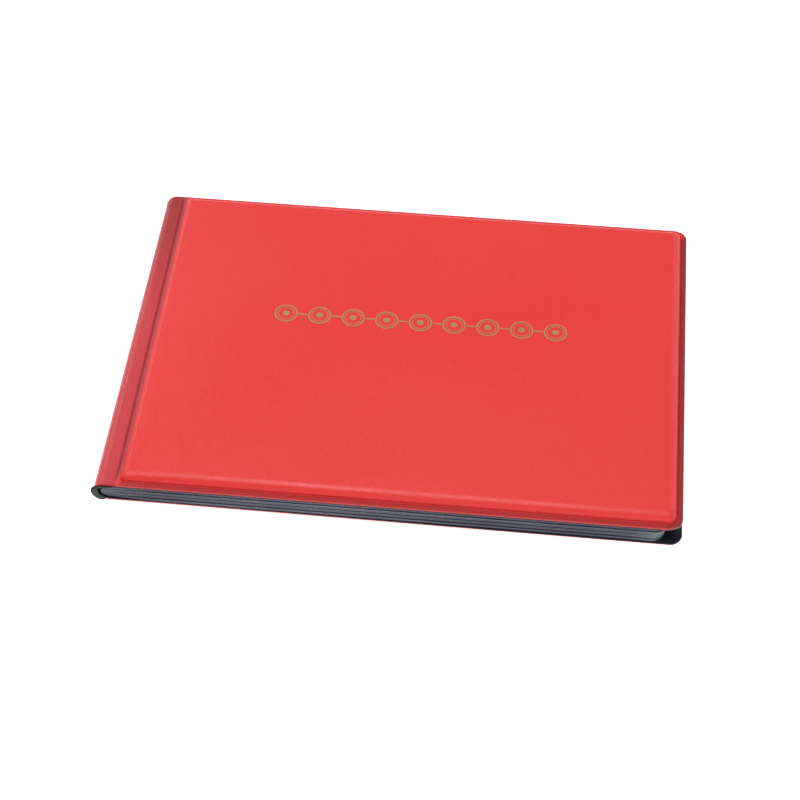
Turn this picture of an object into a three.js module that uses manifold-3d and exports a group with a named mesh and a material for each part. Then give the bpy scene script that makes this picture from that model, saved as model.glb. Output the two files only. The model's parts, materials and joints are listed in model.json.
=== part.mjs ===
// Coin album: a padded vinyl cover wrapped round ten leaves of clear coin pockets, closed and lying flat.
// Millimetres. +X runs from the spine to the fore edge, +Y from the near edge to the far one, +Z is up.
// The origin is under the middle of the album, on the surface that it lies on.
import * as THREE from "three";
import { mergeVertices } from "three/addons/utils/BufferGeometryUtils.js";
import Module from "manifold-3d";

const wasm = await Module();
wasm.setup();

// ---- Driving dimensions ----

// Cover
const albumWidth = 175; // from the spine's fold to the fore edge
const albumDepth = 125; // from the near edge to the far one
const spineStripWidth = 7.3; // from the spine's fold to the foot of the padded panel
const weldMargin = 2.3; // flat welded border round the other three sides of a panel
const panelRise = 2.3; // how far a padded panel stands above its border
const shoulderWidth = 2.6; // how far in the panel's rounded shoulder reaches
const coverCornerRadius = 5;
const panelCornerRadius = 3;
const spineSideCornerRadius = 0.5;
const skinThickness = 0.45; // red leather-grained vinyl
const linerThickness = 0.35; // navy vinyl
const boardThickness = 1.2; // greyboard stiffener

// Leaves
const leafCount = 10;
const leafFilmThickness = 0.15;
const leafCornerRadius = 4.5;
const leafForeInset = 4.1; // from the cover's fore edge to the leaf's
const leafSideInset = 0.5; // from the cover's near or far edge to the leaf's
const leafAxisInset = 1; // from the cover's folds to the lines that the leaves turn about
const leafRootGap = 0.8; // from the line a leaf turns about to the start of its film
const pocketRows = ["near", "middle", "far"];
const pocketColumns = 4;
const pocketFilmThickness = 0.1;
const pocketSlot = 0.12; // the room under a pocket's film
const pocketWeld = 1.6; // width of a weld beside or below a pocket
const pocketRamp = 0.5; // width of the film's slope from a weld up to a pocket
const pocketMouthGap = 1.5; // bare leaf between a row's open mouths and the next row
const leafBorder = 1.8; // bare leaf round the pockets
const pocketRootGap = 2.4; // from the line a leaf turns about to its first pocket weld

// Foil frieze on the front panel
const friezeLength = 93;
const friezeCoins = 9;
const friezeCoinDiameter = 7.4;
const friezeRingWidth = 0.8;
const friezeCentreDiameter = 3;
const friezeLineWidth = 0.6;
const friezeFoilThickness = 0.06;
const friezeArcSteps = 6; // straight pieces in a half circle
const friezeCentre = new THREE.Vector2(3.6, 9.8);

// Clearances
const sheetGap = 0.03; // between sheets that lie on each other
const padGap = 0.08; // round the foam and the board in their hollow
const leafGap = 0.05; // between leaves, and between the leaves and the liners
const floorGap = 0.1; // under the spine when the album lies open
const hingeGap = 0.05; // between the edges of two sheets that fold, beyond what the fold needs
const bindingGap = 0.25; // round the leaves' binding, inside the spine

// ---- Worked out from them ----

const laminate = skinThickness + sheetGap + linerThickness;
const hollowDepth = panelRise; // from the cover's inner face to the underside of the raised skin
const leafThickness = leafFilmThickness + sheetGap + pocketSlot + pocketFilmThickness;
const leafPitch = leafThickness + leafGap;
const blockThickness = leafGap + leafCount * leafPitch;
const albumThickness = 2 * (panelRise + laminate) + blockThickness;
const midHeight = albumThickness / 2;

// The two lines that the cover folds about run along Y in the middle of its laminate.
const lowerFoldHeight = panelRise + laminate / 2;
const upperFoldHeight = albumThickness - lowerFoldHeight;
const spineBulge = panelRise - floorGap; // the open spine hangs below its folds by this much
const foldX = -albumWidth / 2 + laminate / 2 + spineBulge;
const coverEdgeX = foldX + laminate / 2 + hingeGap;

// Leaves turn about lines just inside the spine.
const leafAxisX = foldX + leafAxisInset;
const firstLeafHeight = panelRise + laminate + leafGap;
const leafStartX = leafAxisX + leafRootGap;
const leafEndX = albumWidth / 2 - leafForeInset;
const leafDepth = albumDepth - 2 * leafSideInset;

// ---- Materials ----

const vinyl = (color, roughness) => new THREE.MeshStandardMaterial({ color, roughness, metalness: 0 });
const redVinyl = () => vinyl(0xe64442, 0.45);
const navyVinyl = () => vinyl(0x1c2333, 0.4);
const foam = () => vinyl(0xe8e2d2, 0.95);
const greyboard = () => vinyl(0x9a9488, 0.9);
const clearFilm = () =>
  new THREE.MeshStandardMaterial({
    color: 0x6f7d90,
    roughness: 0.2,
    metalness: 0,
    transparent: true,
    opacity: 0.55,
  });
const goldFoil = () => new THREE.MeshStandardMaterial({ color: 0xb6985c, roughness: 0.35, metalness: 0.8 });

// ---- Shape helpers ----

function named(name, geometry, material) {
  const mesh = new THREE.Mesh(geometry, material);
  mesh.name = name;
  return mesh;
}

// A rectangle in plan: its two X limits, its half depth in Y, and a corner radius at each X side.
function plate(lowX, highX, halfDepth, lowRadius, highRadius) {
  return { lowX, highX, halfDepth, lowRadius, highRadius };
}

// The same plate with every side moved in by one distance.
function inset(outline, distance) {
  const { lowX, highX, halfDepth, lowRadius, highRadius } = outline;
  const leastRadius = 0.3;
  return plate(
    lowX + distance,
    highX - distance,
    halfDepth - distance,
    Math.max(lowRadius - distance, leastRadius),
    Math.max(highRadius - distance, leastRadius),
  );
}

const cornerSteps = 6;

// The plate's outline at one height, anticlockwise from above, with the same number of points every time.
function ringAt(outline, height) {
  const { lowX, highX, halfDepth, lowRadius, highRadius } = outline;
  const corners = [
    [highX - highRadius, halfDepth - highRadius, highRadius],
    [lowX + lowRadius, halfDepth - lowRadius, lowRadius],
    [lowX + lowRadius, -halfDepth + lowRadius, lowRadius],
    [highX - highRadius, -halfDepth + highRadius, highRadius],
  ];
  return corners.flatMap(([x, y, radius], quarter) =>
    Array.from({ length: cornerSteps + 1 }, (_, step) => {
      const angle = (quarter + step / cornerSteps) * (Math.PI / 2);
      return new THREE.Vector3(x + radius * Math.cos(angle), y + radius * Math.sin(angle), height);
    }),
  );
}

// A closed solid through a stack of rings, with a flat cap on the first ring and on the last.
function loft(rings) {
  const count = rings[0].length;
  const middle = (ring) => ring.reduce((sum, p) => sum.add(p), new THREE.Vector3()).divideScalar(count);
  const points = [...rings.flat(), middle(rings[0]), middle(rings.at(-1))];
  const firstMiddle = points.length - 2;
  const lastMiddle = points.length - 1;
  const faces = [];
  for (let i = 0; i < count; i++) {
    const next = (i + 1) % count;
    const lastRow = (rings.length - 1) * count;
    faces.push(firstMiddle, next, i);
    faces.push(lastMiddle, lastRow + i, lastRow + next);
    for (let row = 0; row < lastRow; row += count) {
      faces.push(row + i, row + next, row + count + next);
      faces.push(row + i, row + count + next, row + count + i);
    }
  }
  const geometry = new THREE.BufferGeometry().setFromPoints(points);
  geometry.setIndex(faces);
  geometry.computeVertexNormals();
  return geometry;
}

// A flat sheet with a plate's outline, standing on Z = 0.
function sheet(outline, thickness) {
  return loft([ringAt(outline, 0), ringAt(outline, thickness)]);
}

// A profile drawn in X and Z, run along Y between two values.
function runAlongY(shape, lowY, highY) {
  const geometry = new THREE.ExtrudeGeometry(shape, {
    depth: highY - lowY,
    bevelEnabled: false,
    curveSegments: 12,
  });
  return geometry.rotateX(Math.PI / 2).translate(0, highY, 0);
}

function manifoldOf(geometry) {
  const bare = geometry.clone();
  bare.deleteAttribute("normal");
  bare.deleteAttribute("uv");
  const merged = mergeVertices(bare);
  const vertProperties = merged.attributes.position.array;
  const triVerts = new Uint32Array(merged.index.array);
  return new wasm.Manifold(new wasm.Mesh({ numProp: 3, vertProperties, triVerts }));
}

function joined(geometries) {
  const [first, ...rest] = geometries.map(manifoldOf);
  const mesh = rest.reduce((sum, solid) => sum.add(solid), first).getMesh();
  const geometry = new THREE.BufferGeometry();
  geometry.setAttribute("position", new THREE.BufferAttribute(mesh.vertProperties, 3));
  geometry.setIndex(new THREE.BufferAttribute(mesh.triVerts, 1));
  geometry.computeVertexNormals();
  return geometry;
}

// ---- Covers ----
// A cover is modelled as the front one. Z = 0 is the inner face of its skin's border, and the panel rises above it.

const coverOutline = plate(
  coverEdgeX,
  albumWidth / 2,
  albumDepth / 2,
  spineSideCornerRadius,
  coverCornerRadius,
);
const panelFoot = plate(
  -albumWidth / 2 + spineStripWidth,
  albumWidth / 2 - weldMargin,
  albumDepth / 2 - weldMargin,
  panelCornerRadius,
  panelCornerRadius,
);
const hollowMouth = inset(panelFoot, skinThickness);
const shoulderSteps = 4;
const quarterSteps = Array.from({ length: shoulderSteps + 1 }, (_, i) => (i / shoulderSteps) * (Math.PI / 2));

// Rings up a quarter-round shoulder, from a foot outline to the flat top.
function shoulderRings(foot, width, base, rise, angles) {
  return angles.map((angle) =>
    ringAt(inset(foot, width * (1 - Math.cos(angle))), base + rise * Math.sin(angle)),
  );
}

// The red skin: a flat border and a hollow raised panel, one wall thick all over.
function coverSkin() {
  const innerWidth = shoulderWidth - skinThickness;
  const inside = shoulderRings(hollowMouth, innerWidth, 0, hollowDepth, quarterSteps);
  const outside = shoulderRings(panelFoot, shoulderWidth, skinThickness, panelRise, quarterSteps);
  return loft([
    ...inside.reverse(),
    ringAt(coverOutline, 0),
    ringAt(coverOutline, skinThickness),
    ...outside,
  ]);
}

// How far the hollow under the skin has narrowed at a height inside it.
function hollowInset(height) {
  const angle = Math.asin(Math.min(height / hollowDepth, 1));
  return (shoulderWidth - skinThickness) * (1 - Math.cos(angle));
}

// The board lies on the liner, and fits the hollow where it is narrowest beside the board.
function coverBoard() {
  const outline = inset(hollowMouth, hollowInset(boardThickness) + padGap);
  return sheet(outline, boardThickness - sheetGap).translate(0, 0, sheetGap);
}

// The foam fills what the board leaves of the hollow, shoulders included.
function coverFoam() {
  const base = boardThickness + sheetGap;
  const top = hollowDepth - padGap;
  const firstAngle = Math.asin(base / top);
  const angles = Array.from(
    { length: shoulderSteps + 1 },
    (_, i) => firstAngle + (i / shoulderSteps) * (Math.PI / 2 - firstAngle),
  );
  return loft(shoulderRings(inset(hollowMouth, padGap), shoulderWidth - skinThickness, 0, top, angles));
}

function cover(side) {
  const group = new THREE.Group();
  const liner = named(`${side}_liner`, sheet(coverOutline, linerThickness), navyVinyl());
  liner.position.z = -sheetGap - linerThickness;
  group.add(
    named(`${side}_cover_skin`, coverSkin(), redVinyl()),
    named(`${side}_foam_pad`, coverFoam(), foam()),
    named(`${side}_board`, coverBoard(), greyboard()),
    liner,
  );
  return group;
}

// ---- Foil frieze ----
// A string of coin shapes on one line, flat in X and Y, as one piece of hot-stamped foil.

function disc(radius, holeRadius, x) {
  const shape = new THREE.Shape().absarc(x, 0, radius, 0, 2 * Math.PI);
  if (holeRadius) shape.holes.push(new THREE.Path().absarc(x, 0, holeRadius, 0, 2 * Math.PI));
  return new THREE.ExtrudeGeometry(shape, {
    depth: friezeFoilThickness,
    bevelEnabled: false,
    curveSegments: friezeArcSteps,
  });
}

function frieze() {
  const line = new THREE.BoxGeometry(friezeLength, friezeLineWidth, friezeFoilThickness);
  line.translate(0, 0, friezeFoilThickness / 2);
  const radius = friezeCoinDiameter / 2;
  const coinPitch = (friezeLength - friezeCoinDiameter) / (friezeCoins - 1);
  const coins = Array.from({ length: friezeCoins }, (_, i) => {
    const x = (i - (friezeCoins - 1) / 2) * coinPitch;
    return [disc(radius, radius - friezeRingWidth, x), disc(friezeCentreDiameter / 2, 0, x)];
  });
  return joined([line, ...coins.flat()]);
}

// ---- Spine ----

// The spine is an arc between the two folds, bulging towards -X. Its radius and half angle follow from its
// chord, the distance between the folds, and from how far it bulges.
const halfChord = (upperFoldHeight - lowerFoldHeight) / 2;
const spineRadius = (halfChord ** 2 + spineBulge ** 2) / (2 * spineBulge);
const spineCentreX = foldX - spineBulge + spineRadius;
const spineHalfAngle = 2 * Math.atan(spineBulge / halfChord) - (laminate / 2 + hingeGap) / spineRadius;

function arcBand(outerRadius, thickness) {
  const start = Math.PI - spineHalfAngle;
  const end = Math.PI + spineHalfAngle;
  const shape = new THREE.Shape();
  shape.absarc(spineCentreX, midHeight, outerRadius, start, end, false);
  shape.absarc(spineCentreX, midHeight, outerRadius - thickness, end, start, true);
  return runAlongY(shape, -albumDepth / 2, albumDepth / 2);
}

// The fused roots of all the leaves: round towards the spine and flat towards the leaves.
function leafBinding() {
  const radius = Math.min(spineRadius - laminate / 2, blockThickness / 2) - bindingGap;
  const flatX = leafAxisX - bindingGap;
  const shape = new THREE.Shape();
  shape.absarc(spineCentreX, midHeight, radius, Math.PI / 2, (3 * Math.PI) / 2, false);
  if (flatX > spineCentreX) {
    shape.lineTo(flatX, midHeight - radius);
    shape.lineTo(flatX, midHeight + radius);
  }
  return runAlongY(shape, -leafDepth / 2, leafDepth / 2);
}

function spine() {
  const group = new THREE.Group();
  const outerRadius = spineRadius + laminate / 2;
  const linerRadius = outerRadius - skinThickness - sheetGap;
  group.add(
    named("spine_skin", arcBand(outerRadius, skinThickness), redVinyl()),
    named("spine_liner", arcBand(linerRadius, linerThickness), navyVinyl()),
    named("leaf_binding", leafBinding(), clearFilm()),
  );
  return group;
}

// ---- Leaves ----
// A leaf is modelled with Z = 0 on the underside of its film.

function leafFilm() {
  const half = leafDepth / 2;
  const r = leafCornerRadius;
  const shape = new THREE.Shape();
  shape.moveTo(leafStartX, -half);
  shape.lineTo(leafEndX - r, -half);
  shape.absarc(leafEndX - r, -half + r, r, -Math.PI / 2, 0, false);
  shape.lineTo(leafEndX, half - r);
  shape.absarc(leafEndX - r, half - r, r, 0, Math.PI / 2, false);
  shape.lineTo(leafStartX, half);
  return new THREE.ExtrudeGeometry(shape, {
    depth: leafFilmThickness,
    bevelEnabled: false,
    curveSegments: cornerSteps,
  });
}

// The film over one row of pockets, seen along Y: it lies on the leaf at each weld and rises over each pocket.
function pocketProfile(lowX, highX) {
  const pocketWidth = (highX - lowX - pocketWeld) / pocketColumns - pocketWeld;
  const underside = [[lowX, 0]];
  for (let column = 0; column < pocketColumns; column++) {
    const start = lowX + pocketWeld + column * (pocketWidth + pocketWeld);
    underside.push([start, 0]);
    underside.push([start + pocketRamp, pocketSlot]);
    underside.push([start + pocketWidth - pocketRamp, pocketSlot]);
    underside.push([start + pocketWidth, 0]);
  }
  underside.push([highX, 0]);
  const upperSide = underside.map(([x, z]) => [x, z + pocketFilmThickness]).reverse();
  return new THREE.Shape([...underside, ...upperSide].map(([x, z]) => new THREE.Vector2(x, z)));
}

// One row of pockets: open along the far side, and welded shut along the near side.
function pocketRow(row) {
  const lowX = leafAxisX + pocketRootGap;
  const highX = leafEndX - leafBorder;
  const rowsDepth = leafDepth - 2 * leafBorder;
  const rowDepth = (rowsDepth - (pocketRows.length - 1) * pocketMouthGap) / pocketRows.length;
  const nearY = -rowsDepth / 2 + row * (rowDepth + pocketMouthGap);
  const film = runAlongY(pocketProfile(lowX, highX), nearY, nearY + rowDepth);
  const sunk = pocketFilmThickness / 2; // the weld's edges end inside the film
  const weldHeight = pocketSlot + sunk;
  const weld = new THREE.BoxGeometry(highX - lowX - 2 * sunk, pocketWeld - sunk, weldHeight);
  weld.translate((lowX + highX) / 2, nearY + (pocketWeld + sunk) / 2, weldHeight / 2);
  return joined([film, weld]);
}

function leaf(index) {
  const number = String(index + 1).padStart(2, "0");
  const group = new THREE.Group();
  group.position.z = firstLeafHeight + index * leafPitch;
  group.add(named(`leaf_${number}_film`, leafFilm(), clearFilm()));
  pocketRows.forEach((rowName, row) => {
    const pockets = named(`leaf_${number}_${rowName}_pockets`, pocketRow(row), clearFilm());
    pockets.position.z = leafFilmThickness + sheetGap;
    group.add(pockets);
  });
  return group;
}

// ---- Assembly ----

const album = new THREE.Group();

const backCover = cover("back");
backCover.rotation.x = Math.PI;
backCover.position.z = panelRise + skinThickness;

const frontCover = cover("front");
frontCover.position.z = albumThickness - panelRise - skinThickness;
const foil = named("front_foil_frieze", frieze(), goldFoil());
foil.position.set(friezeCentre.x, friezeCentre.y, skinThickness + panelRise + sheetGap);
frontCover.add(foil);

album.add(backCover, spine(), frontCover);
for (let index = 0; index < leafCount; index++) album.add(leaf(index));

export default album;
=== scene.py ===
# %% [markdown]
# # A coin album, closed and lying flat
#
# The album is a padded vinyl cover wrapped round ten leaves of coin pockets. The CAD frame already holds every
# piece at its real size and joins them with hinges. This lesson gives the pieces their looks. The stiff boards
# keep their CAD meshes and get a material. The soft pieces (the red skin, the foam, the navy lining, the leaves,
# the pockets and the foil) are modelled again as thin, softly shaped sheets in the same places.

# %% Load the frame
import json
import math
import random

import bmesh
import bpy
import numpy as np
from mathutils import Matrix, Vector
from mathutils.bvhtree import BVHTree

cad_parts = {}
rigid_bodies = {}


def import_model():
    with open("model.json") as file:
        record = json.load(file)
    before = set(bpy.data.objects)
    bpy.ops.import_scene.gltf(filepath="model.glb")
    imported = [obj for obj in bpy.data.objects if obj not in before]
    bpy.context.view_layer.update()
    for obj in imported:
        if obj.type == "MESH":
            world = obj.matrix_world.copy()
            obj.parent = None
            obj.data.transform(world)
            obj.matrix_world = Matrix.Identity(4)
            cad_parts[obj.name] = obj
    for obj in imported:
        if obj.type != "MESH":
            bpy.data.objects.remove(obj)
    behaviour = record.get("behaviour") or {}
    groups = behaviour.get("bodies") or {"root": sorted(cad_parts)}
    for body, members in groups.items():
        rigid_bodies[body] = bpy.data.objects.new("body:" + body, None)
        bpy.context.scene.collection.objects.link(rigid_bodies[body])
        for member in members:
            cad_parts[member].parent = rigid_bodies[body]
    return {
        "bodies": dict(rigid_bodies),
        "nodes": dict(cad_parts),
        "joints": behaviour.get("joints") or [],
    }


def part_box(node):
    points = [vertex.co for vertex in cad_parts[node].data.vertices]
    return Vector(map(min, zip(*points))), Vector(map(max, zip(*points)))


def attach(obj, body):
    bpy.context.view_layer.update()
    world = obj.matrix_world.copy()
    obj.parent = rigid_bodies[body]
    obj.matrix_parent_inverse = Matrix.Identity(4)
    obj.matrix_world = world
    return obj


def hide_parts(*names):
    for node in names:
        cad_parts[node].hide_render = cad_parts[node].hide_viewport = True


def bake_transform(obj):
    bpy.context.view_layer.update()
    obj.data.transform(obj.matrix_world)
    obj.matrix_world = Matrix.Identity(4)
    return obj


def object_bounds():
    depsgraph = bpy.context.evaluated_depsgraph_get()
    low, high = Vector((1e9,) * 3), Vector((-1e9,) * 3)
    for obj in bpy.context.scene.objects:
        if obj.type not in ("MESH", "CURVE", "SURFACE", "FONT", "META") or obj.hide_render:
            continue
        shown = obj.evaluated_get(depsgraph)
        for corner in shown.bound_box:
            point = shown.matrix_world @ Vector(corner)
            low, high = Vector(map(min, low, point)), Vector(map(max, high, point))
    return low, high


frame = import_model()
cad_low, cad_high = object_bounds()
MM = 0.001
scene = bpy.context.scene
joints = {joint["name"]: joint for joint in frame["joints"]}
leaf_bodies = sorted(name for name in frame["bodies"] if name.startswith("leaf_"))
print("CAD box in mm:", [round(v / MM, 2) for v in (*cad_low, *cad_high)])


def add_object(name, data):
    made = bpy.data.objects.new(name, data)
    scene.collection.objects.link(made)
    return made


def mesh_object(name, bm):
    mesh = bpy.data.meshes.new(name)
    bm.to_mesh(mesh)
    bm.free()
    return add_object(name, mesh)

# %% [markdown]
# ## Sizes that the sheets share
#
# The cover's outline, its thickness and the two folds come from the boxes of the CAD nodes and from the joints, so
# a sheet that is built from them fits without being moved afterwards. Only small allowances are given.

# %% Read the cover's sizes
skin_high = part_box("front_cover_skin")[1]
liner_low, liner_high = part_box("front_liner")
pad_low, pad_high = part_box("front_foam_pad")
SKIN = 0.45 * MM
LINER = liner_high.z - liner_low.z
PAD_CLEARANCE = 0.53 * MM  # a skin's wall and the gap between the skin and its pad
FORE_WELD_CUT = 0.6 * MM  # the weld at the fore edge is this much narrower than the others

FORE = skin_high.x
HALF_DEPTH = skin_high.y
FOLD_X = joints["cover_open"]["pos_m"][0]
MID_Z = (joints["cover_open"]["pos_m"][2] + joints["spine_fold"]["pos_m"][2]) / 2
HALF_CHORD = joints["cover_open"]["pos_m"][2] - MID_Z
HALF_LAMINATE = MID_Z + HALF_CHORD - liner_low.z
FOOT_SPINE = pad_low.x - PAD_CLEARANCE
FOOT_FORE = pad_high.x + PAD_CLEARANCE + FORE_WELD_CUT
FOOT_HALF = pad_high.y + PAD_CLEARANCE
MARGIN = HALF_DEPTH - FOOT_HALF
FORE_MARGIN = FORE - FOOT_FORE
PANEL_RISE = skin_high.z - (MID_Z + HALF_CHORD) - HALF_LAMINATE
print("laminate", round(2 * HALF_LAMINATE / MM, 2), "margin", round(MARGIN / MM, 2), "rise", round(PANEL_RISE / MM, 2))

# %% [markdown]
# ## Camera
#
# A product shot like this one is taken from a height of about fifty degrees with a longish lens, a little to the
# right of the album's middle. The long lens keeps the far edge almost as wide as the near one.

# %% Place the camera
CAMERA_AIM = Vector((0.1, -20.1, 8.5)) * MM
CAMERA_DISTANCE = 630 * MM
CAMERA_AZIMUTH, CAMERA_ELEVATION = math.radians(5.68), math.radians(49.47)
SENSOR, FOCAL = 36, 91.9

camera = add_object("camera", bpy.data.cameras.new("camera"))
camera_back = Vector((
    math.sin(CAMERA_AZIMUTH) * math.cos(CAMERA_ELEVATION),
    -math.cos(CAMERA_AZIMUTH) * math.cos(CAMERA_ELEVATION),
    math.sin(CAMERA_ELEVATION),
))
camera.location = CAMERA_AIM + camera_back * CAMERA_DISTANCE
camera.rotation_euler = (-camera_back).to_track_quat("-Z", "Y").to_euler()
camera.data.sensor_width, camera.data.lens = SENSOR, FOCAL
camera.data.clip_start, camera.data.clip_end = 0.01, 20
scene.camera = camera

# %% [markdown]
# ## Light and floor
#
# The vinyl has a soft gloss, so what it reflects matters more than where its shadows fall. A bright, even world
# stands for a light tent. One large soft light behind and to the left puts a haze on that side of the panel and a
# line along the shoulder beside the spine, and a small one does the same on the right. One overhead picks out the
# near shoulder, a long low one behind lights the far one, and one in front fills the edge of the leaves. The floor
# glows faintly, as a lit table does, so shadows on it stay pale.

# %% Light the scene
def soft_light(name, place, size, power, height=None):
    light = add_object(name, bpy.data.lights.new(name, "AREA"))
    light.data.shape, light.data.size, light.data.energy = "ELLIPSE", size, power
    light.data.size_y = height or size
    light.location = place
    light.rotation_euler = (-Vector(place)).to_track_quat("-Z", "Y").to_euler()


soft_light("key", (-0.70, 0.80, 0.68), 0.55, 2.6)
soft_light("back_right", (0.70, 0.80, 0.62), 0.35, 0.9)
soft_light("overhead", (-0.10, 0.05, 1.15), 0.45, 5.6)
soft_light("back_wall", (0.0, 1.0, 0.32), 2.4, 0.8, height=0.4)
soft_light("front_fill", (0.15, -0.9, 0.45), 0.6, 1.1)
TENT_STRENGTH = 0.48
world = bpy.data.worlds.new("tent")
world.use_nodes = True
tent = world.node_tree.nodes["Background"].inputs
tent["Color"].default_value = (1.0, 1.0, 1.0, 1.0)
tent["Strength"].default_value = TENT_STRENGTH
scene.world = world
scene.view_settings.view_transform = "Standard"

# %% Lay the floor
FLOOR_SIZE = 12.0  # large enough to fill the view from low down
floor_bm = bmesh.new()
bmesh.ops.create_grid(floor_bm, x_segments=4, y_segments=4, size=FLOOR_SIZE)
floor = mesh_object("floor", floor_bm)
floor_finish = bpy.data.materials.new("pale_floor")
floor_finish.use_nodes = True
floor_values = {
    "Base Color": (0.93, 0.93, 0.93, 1.0),
    "Roughness": 0.9,
    "Emission Color": (1.0, 1.0, 1.0, 1.0),
    "Emission Strength": 0.85,
}
for socket_name, socket_value in floor_values.items():
    floor_finish.node_tree.nodes["Principled BSDF"].inputs[socket_name].default_value = socket_value
floor.data.materials.append(floor_finish)

# %% [markdown]
# ## Helpers for materials
#
# A material is a small graph of nodes. These helpers add a node, set its values and link its inputs in one call,
# so that each recipe below reads like a list. Effects that several materials use are node groups, built once.

# %% Node helpers
def add_node(tree, kind, inputs=None, **settings):
    """Each input is a value to set or another node's socket to link."""
    node = tree.nodes.new(kind)
    for key, value in settings.items():
        setattr(node, key, value)
    for key, value in (inputs or {}).items():
        if isinstance(value, bpy.types.NodeSocket):
            tree.links.new(value, node.inputs[key])
        else:
            node.inputs[key].default_value = value
    return node


def noise(tree, where, scale, detail=2.0, roughness=0.5):
    inputs = {"Vector": where, "Scale": scale, "Detail": detail, "Roughness": roughness}
    return add_node(tree, "ShaderNodeTexNoise", inputs).outputs["Fac"]


def stretched(tree, where, scale, turn=0.0):
    inputs = {"Vector": where, "Scale": scale, "Rotation": (0.0, 0.0, turn)}
    return add_node(tree, "ShaderNodeMapping", inputs).outputs["Vector"]


def ranged(tree, value, from_low, from_high, to_low=0.0, to_high=1.0):
    inputs = {"Value": value, "From Min": from_low, "From Max": from_high, "To Min": to_low, "To Max": to_high}
    return add_node(tree, "ShaderNodeMapRange", inputs, clamp=True).outputs["Result"]


def times(tree, a, b):
    return add_node(tree, "ShaderNodeMath", {0: a, 1: b}, operation="MULTIPLY").outputs["Value"]


def plus(tree, a, b):
    return add_node(tree, "ShaderNodeMath", {0: a, 1: b}, operation="ADD").outputs["Value"]


def mixed_colour(tree, factor, first, second):
    return add_node(tree, "ShaderNodeMix", {"Factor": factor, 6: first, 7: second}, data_type="RGBA").outputs[2]


def attribute(tree, name):
    return add_node(tree, "ShaderNodeAttribute", attribute_name=name).outputs["Fac"]


def bump(tree, height, strength, distance):
    inputs = {"Height": height, "Strength": strength, "Distance": distance}
    return add_node(tree, "ShaderNodeBump", inputs).outputs["Normal"]


def new_group(name, inputs, outputs):
    """A group that takes a vector and the numbers in inputs, each with its usual value, and gives numbers."""
    tree = bpy.data.node_groups.new(name, "ShaderNodeTree")
    tree.interface.new_socket("Vector", in_out="INPUT", socket_type="NodeSocketVector")
    for label, usual in inputs.items():
        tree.interface.new_socket(label, in_out="INPUT", socket_type="NodeSocketFloat").default_value = usual
    for label in outputs:
        tree.interface.new_socket(label, in_out="OUTPUT", socket_type="NodeSocketFloat")
    return tree, tree.nodes.new("NodeGroupInput").outputs, tree.nodes.new("NodeGroupOutput").inputs


def use_group(tree, group, inputs):
    return add_node(tree, "ShaderNodeGroup", inputs, node_tree=group).outputs


def new_material(name, **fixed):
    """Makes a material and returns it with its tree and the piece's own coordinates."""
    material = bpy.data.materials.new(name)
    material.use_nodes = True
    tree = material.node_tree
    for key, value in fixed.items():
        tree.nodes["Principled BSDF"].inputs[key.replace("_", " ")].default_value = value
    return material, tree, add_node(tree, "ShaderNodeTexCoord").outputs["Object"]


def finished(material, **sockets):
    """Links what a recipe has worked out to the shader of its material."""
    tree = material.node_tree
    for key, socket in sockets.items():
        tree.links.new(socket, tree.nodes["Principled BSDF"].inputs[key.replace("_", " ")])
    return material

# %% [markdown]
# ## Effects that several finishes share
#
# *Grain* is the pebbled skin pressed into vinyl: small cells with rounded tops and narrow valleys, broken up by
# finer noise. *Haze* is the slow unevenness that plastic sheet has over a few centimetres. *Scuffs* are short
# scratches and rubbed spots that only show where the gloss changes.

# %% Build the grain group
grain_group, grain_in, grain_out = new_group("pressed_grain", {"Cells per metre": 1300.0}, ("Height", "Valley"))
warp_inputs = {"Vector": grain_in["Vector"], "Scale": 900.0, "Detail": 2.0}
warp = add_node(grain_group, "ShaderNodeTexNoise", warp_inputs).outputs["Color"]
bend_inputs = {"Factor": 0.0012, 4: grain_in["Vector"], 5: warp}
bent = add_node(grain_group, "ShaderNodeMix", bend_inputs, data_type="VECTOR").outputs[1]
cell_inputs = {"Vector": bent, "Scale": grain_in["Cells per metre"], "Randomness": 0.9}
cells = add_node(grain_group, "ShaderNodeTexVoronoi", cell_inputs, feature="DISTANCE_TO_EDGE").outputs["Distance"]
pebble = times(grain_group, ranged(grain_group, cells, 0.0, 0.28), 0.75)
fine = times(grain_group, noise(grain_group, grain_in["Vector"], 5200.0, 3.0, 0.6), 0.35)
grain_group.links.new(plus(grain_group, pebble, fine), grain_out["Height"])
grain_group.links.new(ranged(grain_group, cells, 0.0, 0.1, 1.0, 0.0), grain_out["Valley"])

# %% Build the haze and scuff groups
haze_group, haze_in, haze_out = new_group("slow_haze", {"Scale": 14.0}, ("Mask",))
slow = noise(haze_group, haze_in["Vector"], haze_in["Scale"], 3.0, 0.45)
haze_group.links.new(ranged(haze_group, slow, 0.35, 0.65), haze_out["Mask"])

scuff_group, scuff_in, scuff_out = new_group("light_scuffs", {"Amount": 0.5}, ("Mask",))
scratches = stretched(scuff_group, scuff_in["Vector"], (240.0, 30.0, 240.0), 0.6)
streaks = ranged(scuff_group, noise(scuff_group, scratches, 1.0, 3.0, 0.65), 0.62, 0.72)
patches = ranged(scuff_group, noise(scuff_group, scuff_in["Vector"], 30.0), 0.5, 0.62)
scuffs = times(scuff_group, times(scuff_group, streaks, patches), scuff_in["Amount"])
scuff_group.links.new(scuffs, scuff_out["Mask"])

# %% [markdown]
# Leaves that lie on each other never line up, and each takes its own tint from how it was cut. *Layers* are long
# streaks that run along the leaves and change within a fraction of a millimetre from leaf to leaf.

# %% Build the layer group
layer_group, layer_in, layer_out = new_group("leaf_layers", {}, ("Mask",))
drawn = noise(layer_group, stretched(layer_group, layer_in["Vector"], (16.0, 16.0, 1900.0)), 1.0, 2.0, 0.55)
layer_group.links.new(ranged(layer_group, drawn, 0.38, 0.62), layer_out["Mask"])
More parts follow.
